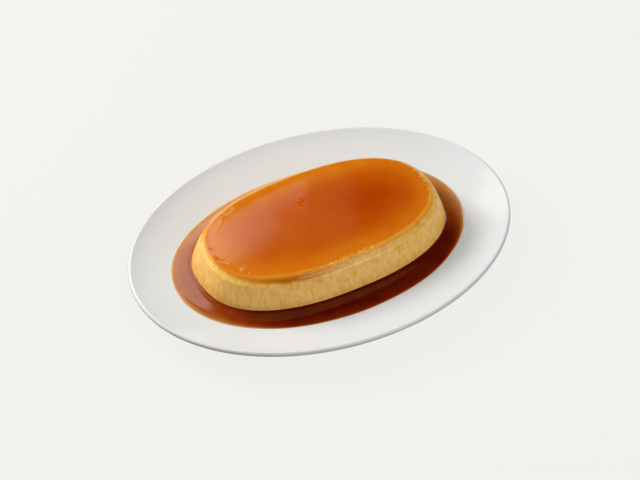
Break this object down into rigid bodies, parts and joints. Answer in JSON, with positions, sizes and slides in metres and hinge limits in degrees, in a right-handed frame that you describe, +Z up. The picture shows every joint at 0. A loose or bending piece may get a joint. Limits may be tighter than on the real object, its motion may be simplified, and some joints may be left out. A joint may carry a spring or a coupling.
{
  "type": "creme caramel flan on an oval plate",
  "caption": "Oval creme caramel flan with a dark caramel layer on top, standing in a pool of its caramel sauce on an oval white porcelain plate.",
  "frame": {"origin": "middle of the foot ring's resting face, under the plate's centre", "axes": "+X along the plate's long axis, +Y across it, +Z up"},
  "size_m": [0.28, 0.2078, 0.0318],
  "materials": {
    "porcelain": "smooth clear glaze over white porcelain, glossy",
    "custard": "moist set egg custard, soft satin sheen, fine pores and faint upright streaks",
    "caramel_layer": "wet burnt-orange caramel that soaked the custard, glossy",
    "caramel_sauce": "thin dark caramel syrup, amber where it is shallow, very glossy"
  },
  "bodies": {
    "root": {"plate": "porcelain", "custard": "custard", "caramel_top": "caramel_layer", "caramel_sauce": "caramel_sauce"}
  },
  "joints": []
}
